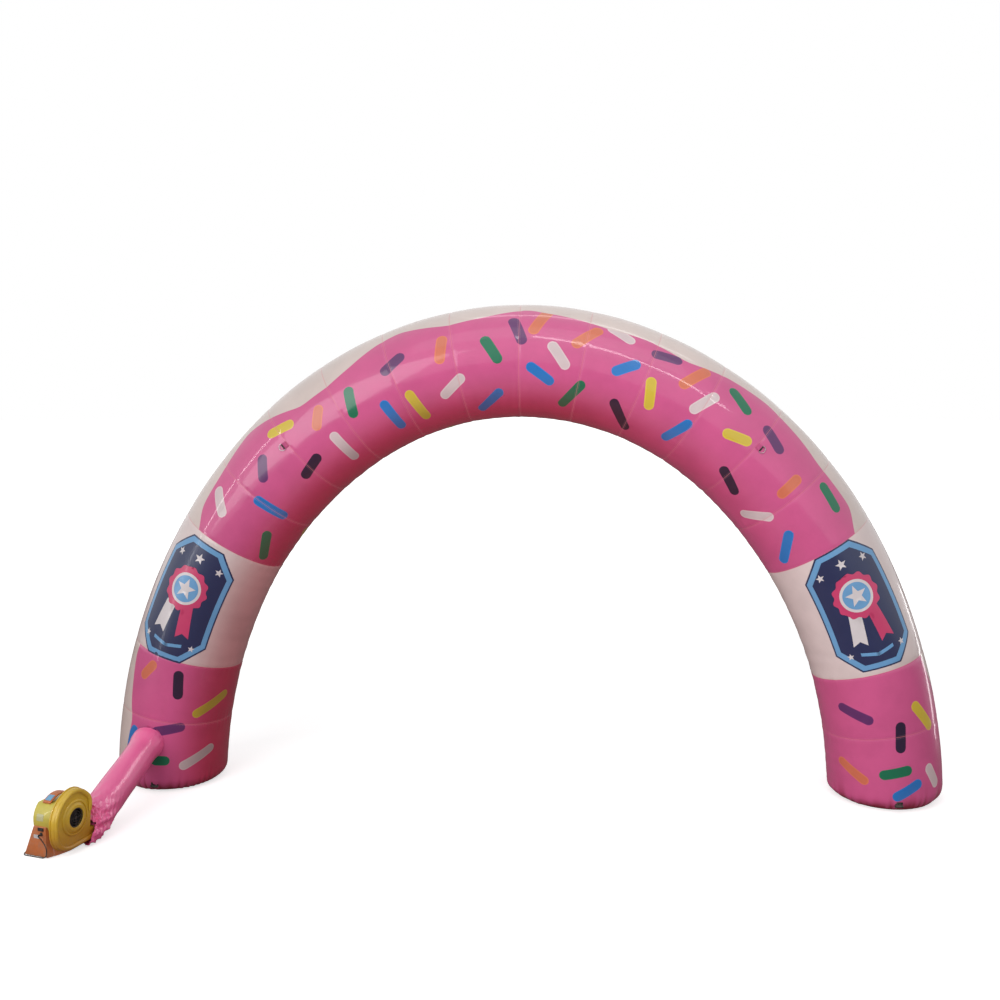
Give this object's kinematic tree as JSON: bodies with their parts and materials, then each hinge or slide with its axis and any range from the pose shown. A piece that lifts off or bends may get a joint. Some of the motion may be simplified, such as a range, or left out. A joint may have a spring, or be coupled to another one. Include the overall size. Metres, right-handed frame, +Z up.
{
  "type": "inflatable arch",
  "caption": "Inflatable event arch with pink icing and sprinkles, badge bands on both legs, tie rings, ground anchors, deflation zip, filling sleeve and electric blower with its cord.",
  "frame": {"origin": "on the ground, at the middle of the part's outer box seen from above, its power cord left out", "axes": "+X across the arch from the blower's side to the other foot, +Y through the walkway away from the pictured front, +Z up"},
  "size_m": [7.0339, 2.265, 4.0063],
  "materials": {
    "pink_cloth": "coated polyester, satin, pink",
    "cream_cloth": "coated polyester, satin, off-white",
    "base_cloth": "coated polyester, dull dark pink",
    "pink_webbing": "woven webbing, matt pink",
    "black_webbing": "woven webbing, matt black",
    "zinc_steel": "zinc-plated steel wire and sheet",
    "zip_cloth": "woven zip tape with moulded teeth",
    "yellow_plastic": "moulded plastic, yellow",
    "orange_plastic": "moulded plastic, orange",
    "blue_pad": "moulded pad, light blue",
    "black_plastic": "moulded plastic, black",
    "grey_nylon": "filled nylon, grey",
    "motor_enamel": "enamelled sheet steel, dark grey",
    "black_rubber": "rubber, matt black"
  },
  "bodies": {
    "arch_and_blower": {"anchor_tab_front_left": "black_webbing", "anchor_tab_front_right": "black_webbing", "anchor_tab_rear_left": "black_webbing", "anchor_tab_rear_right": "black_webbing", "badge_band_left": "cream_cloth", "badge_band_right": "cream_cloth", "base_panel_left": "base_cloth", "base_panel_right": "base_cloth", "blower_stand": "orange_plastic", "carry_handle": "orange_plastic", "cord_coil": "black_rubber", "cord_gland": "black_rubber", "crown_gore_01": "pink_cloth", "crown_gore_02": "pink_cloth", "crown_gore_03": "pink_cloth", "crown_gore_04": "pink_cloth", "crown_gore_05": "pink_cloth", "crown_gore_06": "pink_cloth", "crown_gore_07": "pink_cloth", "crown_gore_08": "pink_cloth", "crown_gore_09": "pink_cloth", "crown_gore_10": "pink_cloth", "crown_gore_11": "pink_cloth", "crown_gore_12": "pink_cloth", "foot_gore_left": "pink_cloth", "foot_gore_right": "pink_cloth", "handle_pad": "blue_pad", "inflation_sleeve": "pink_cloth", "intake_grille": "black_plastic", "intake_ring": "yellow_plastic", "leg_gore_left": "pink_cloth", "leg_gore_right": "pink_cloth", "motor": "motor_enamel", "motor_cover": "yellow_plastic", "motor_plate": "zinc_steel", "power_cord": "black_rubber", "power_plug": "black_rubber", "sleeve_collar": "pink_webbing", "sleeve_strap": "black_webbing", "stand_strip_far": "black_rubber", "stand_strip_near": "black_rubber", "strap_buckle": "black_plastic", "switch_bezel": "black_plastic", "tie_tab_front_left": "pink_webbing", "tie_tab_front_right": "pink_webbing", "tie_tab_rear_left": "pink_webbing", "tie_tab_rear_right": "pink_webbing", "volute_back": "yellow_plastic", "volute_front": "yellow_plastic", "zip_tape": "zip_cloth"},
    "fan_rotor": {"impeller": "grey_nylon", "motor_shaft": "zinc_steel"},
    "switch_rocker": {"rocker_switch": "black_plastic"},
    "zip_runner": {"zip_slider": "zinc_steel"},
    "zip_pull_tab": {"zip_pull": "zinc_steel"},
    "ring_front_left": {"tie_ring_front_left": "zinc_steel"},
    "ring_front_right": {"tie_ring_front_right": "zinc_steel"},
    "ring_rear_left": {"tie_ring_rear_left": "zinc_steel"},
    "ring_rear_right": {"tie_ring_rear_right": "zinc_steel"}
  },
  "joints": [
    {"name": "fan_spin", "type": "hinge", "parent": "arch_and_blower", "child": "fan_rotor", "pos_m": [-3.19933, -0.9054, 0.262], "axis": [0.9613, -0.2756, 0], "continuous": true},
    {"name": "switch_rock", "type": "hinge", "parent": "arch_and_blower", "child": "switch_rocker", "pos_m": [-3.32446, -1.04429, 0.214], "axis": [0, 0, 1], "range_deg": [-7, 7]},
    {"name": "zip_slide", "type": "slide", "parent": "arch_and_blower", "child": "zip_runner", "axis": [-0.2312, 0, 0.9729], "range_m": [-0.05, 0.32]},
    {"name": "zip_pull_swing", "type": "hinge", "parent": "zip_runner", "child": "zip_pull_tab", "pos_m": [2.93994, 1.12969, 0.74331], "axis": [0.9729, 0, 0.2312], "range_deg": [0, 150]},
    {"name": "ring_swing_front_left", "type": "hinge", "parent": "arch_and_blower", "child": "ring_front_left", "pos_m": [-1.85067, 0.22333, 2.87958], "axis": [-0.6562, 0.1951, 0.729], "range_deg": [0, 150]},
    {"name": "ring_swing_front_right", "type": "hinge", "parent": "arch_and_blower", "child": "ring_front_right", "pos_m": [1.88504, 0.22333, 2.87958], "axis": [-0.6562, -0.1951, -0.729], "range_deg": [0, 150]},
    {"name": "ring_swing_rear_left", "type": "hinge", "parent": "arch_and_blower", "child": "ring_rear_left", "pos_m": [-1.85067, 1.11624, 2.87958], "axis": [0.6562, 0.1951, -0.729], "range_deg": [0, 150]},
    {"name": "ring_swing_rear_right", "type": "hinge", "parent": "arch_and_blower", "child": "ring_rear_right", "pos_m": [1.88504, 1.11624, 2.87958], "axis": [0.6562, -0.1951, 0.729], "range_deg": [0, 150]}
  ]
}
